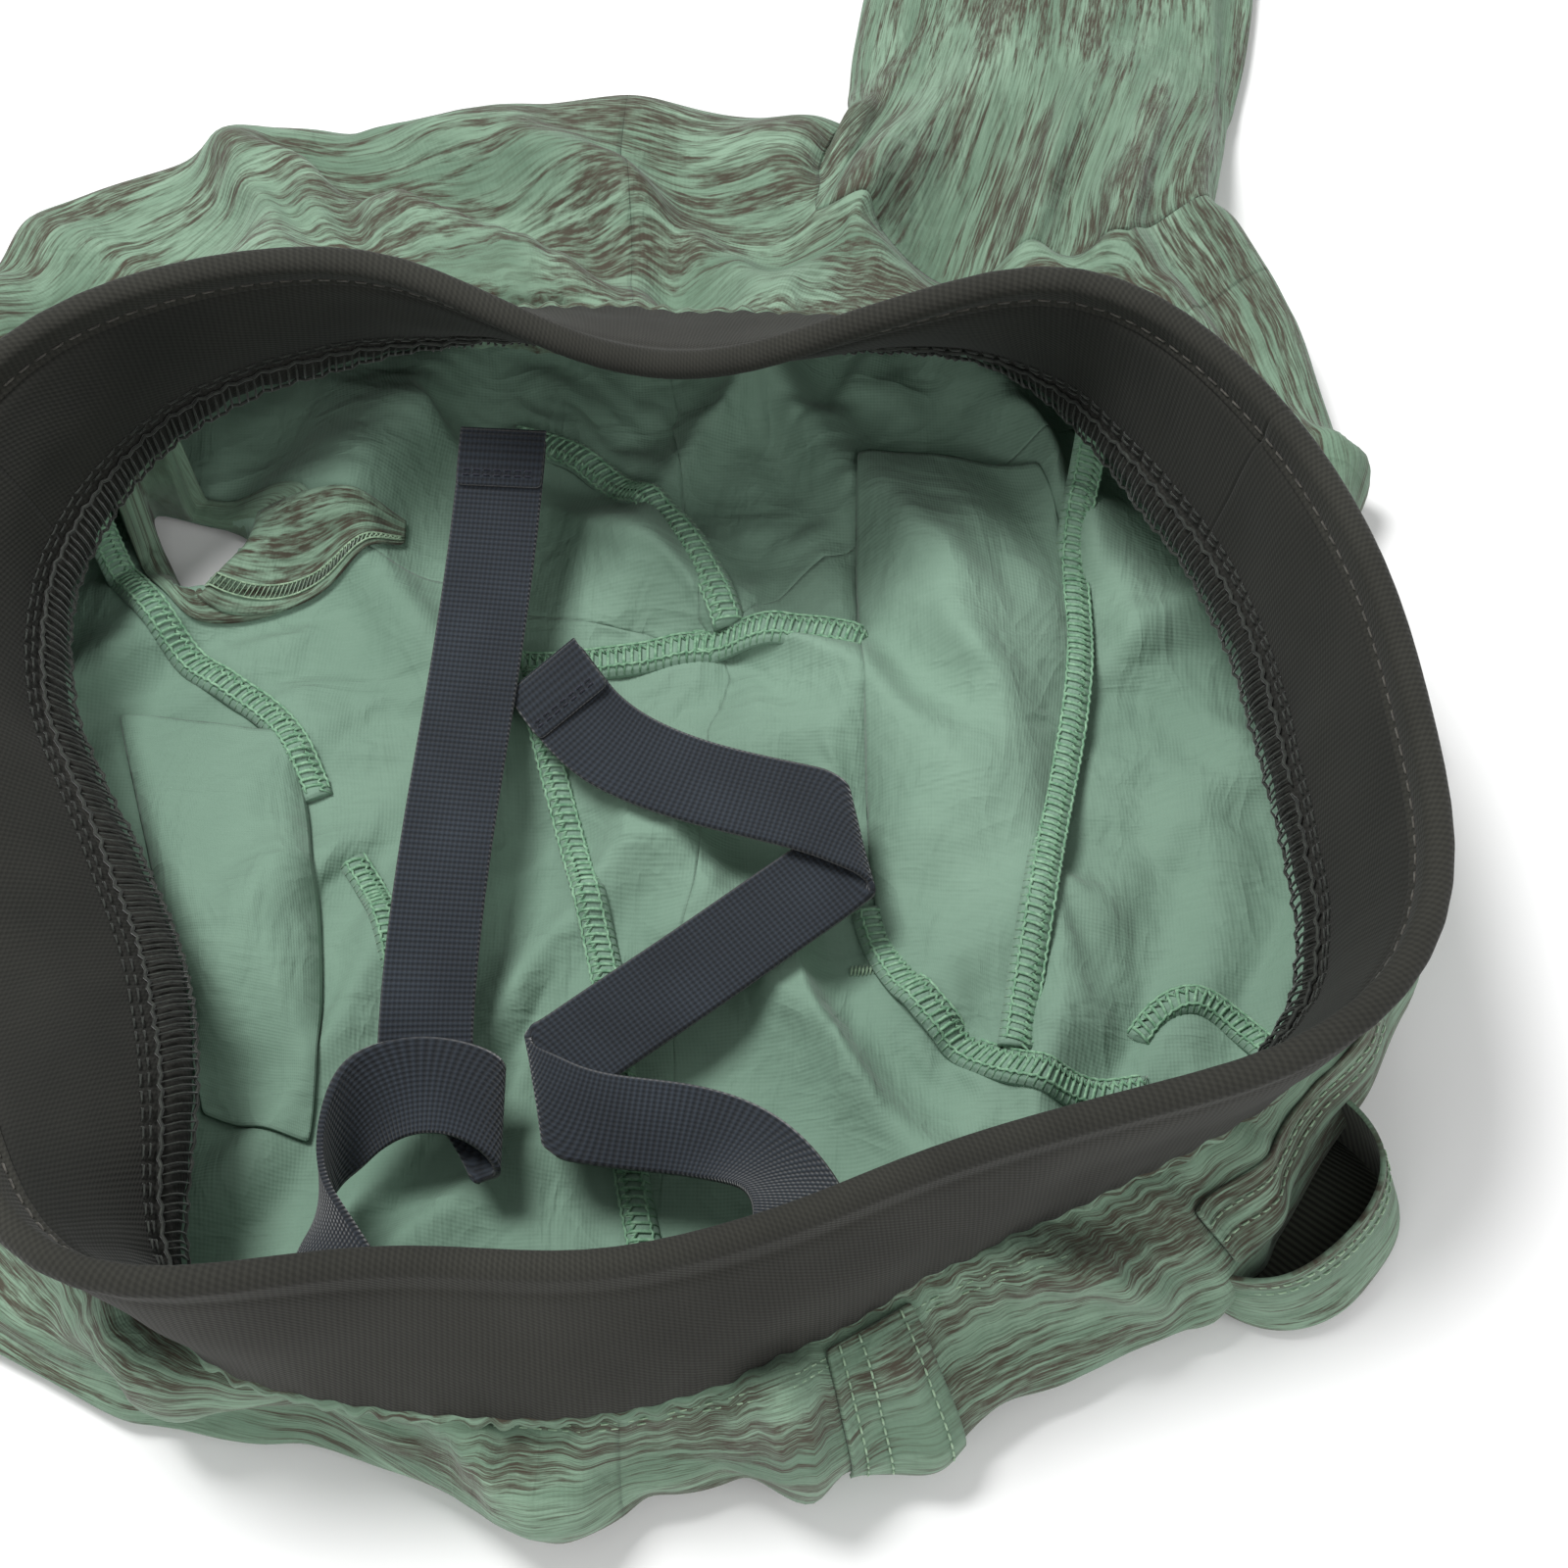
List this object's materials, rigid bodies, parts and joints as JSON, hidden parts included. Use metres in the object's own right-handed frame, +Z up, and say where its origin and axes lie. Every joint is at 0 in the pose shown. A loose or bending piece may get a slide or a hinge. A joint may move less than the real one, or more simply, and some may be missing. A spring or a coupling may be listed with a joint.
{
  "type": "pull-on shorts",
  "caption": "Pull-on shorts lying open: knit waistband, printed woven shell, overlocked seams, hip pocket and webbing straps hanging inside the waist.",
  "frame": {"origin": "middle of the object's bounding box in plan, on the surface it lies on", "axes": "+Z up, +Y from the waist towards the legs, +X towards the wearer's left"},
  "size_m": [0.3644, 0.45, 0.085],
  "materials": {
    "knit": "matt fine knit",
    "elastic_core": "covered round elastic",
    "seam_cloth": "turned cloth under overlock thread",
    "shell": "matt plain weave, streaked print on the outside",
    "lining": "matt plain weave, unprinted",
    "seam_thread": "soft overlock thread",
    "webbing": "ribbed basket weave",
    "strap_thread": "lockstitch thread"
  },
  "bodies": {
    "shorts": {"waistband_back": "knit", "waistband_front": "knit", "waist_facing_back": "knit", "waist_facing_front": "knit", "waist_elastic": "elastic_core", "waist_seam": "seam_cloth", "back_left_panel": "shell", "back_right_panel": "shell", "front_right_panel": "shell", "front_left_panel": "shell", "rise_front_seam": "seam_thread", "rise_back_seam": "seam_thread", "left_inseam": "seam_thread", "right_inseam": "seam_thread", "right_side_seam": "seam_thread", "left_side_seam": "seam_thread", "left_pocket_bag": "lining", "right_pocket_bag": "lining", "left_pocket_layer": "shell", "left_pocket_lip": "shell", "front_pocket_edge": "shell", "right_leg_hem": "shell", "right_strap_anchor": "strap_thread", "left_strap_anchor": "strap_thread"},
    "left_leg": {"left_leg_front": "shell", "left_leg_back": "shell", "left_leg_hem": "shell"},
    "right_strap": {"right_strap": "webbing", "right_strap_tab": "webbing"},
    "left_strap": {"left_strap": "webbing", "left_strap_tab": "webbing"}
  },
  "joints": [
    {"name": "left_leg_fold", "type": "hinge", "parent": "shorts", "child": "left_leg", "pos_m": [0.10208, 0.09984, 0.0358], "axis": [0.9835, -0.1807, 0], "range_deg": [0, 100]},
    {"name": "right_strap_lift", "type": "hinge", "parent": "shorts", "child": "right_strap", "pos_m": [-0.03473, -0.19363, 0.05268], "axis": [0.9955, -0.0945, 0], "range_deg": [0, 95]},
    {"name": "left_strap_lift", "type": "hinge", "parent": "shorts", "child": "left_strap", "pos_m": [0.0413, -0.18597, 0.0537], "axis": [0.8753, 0.4835, 0], "range_deg": [0, 95]}
  ]
}
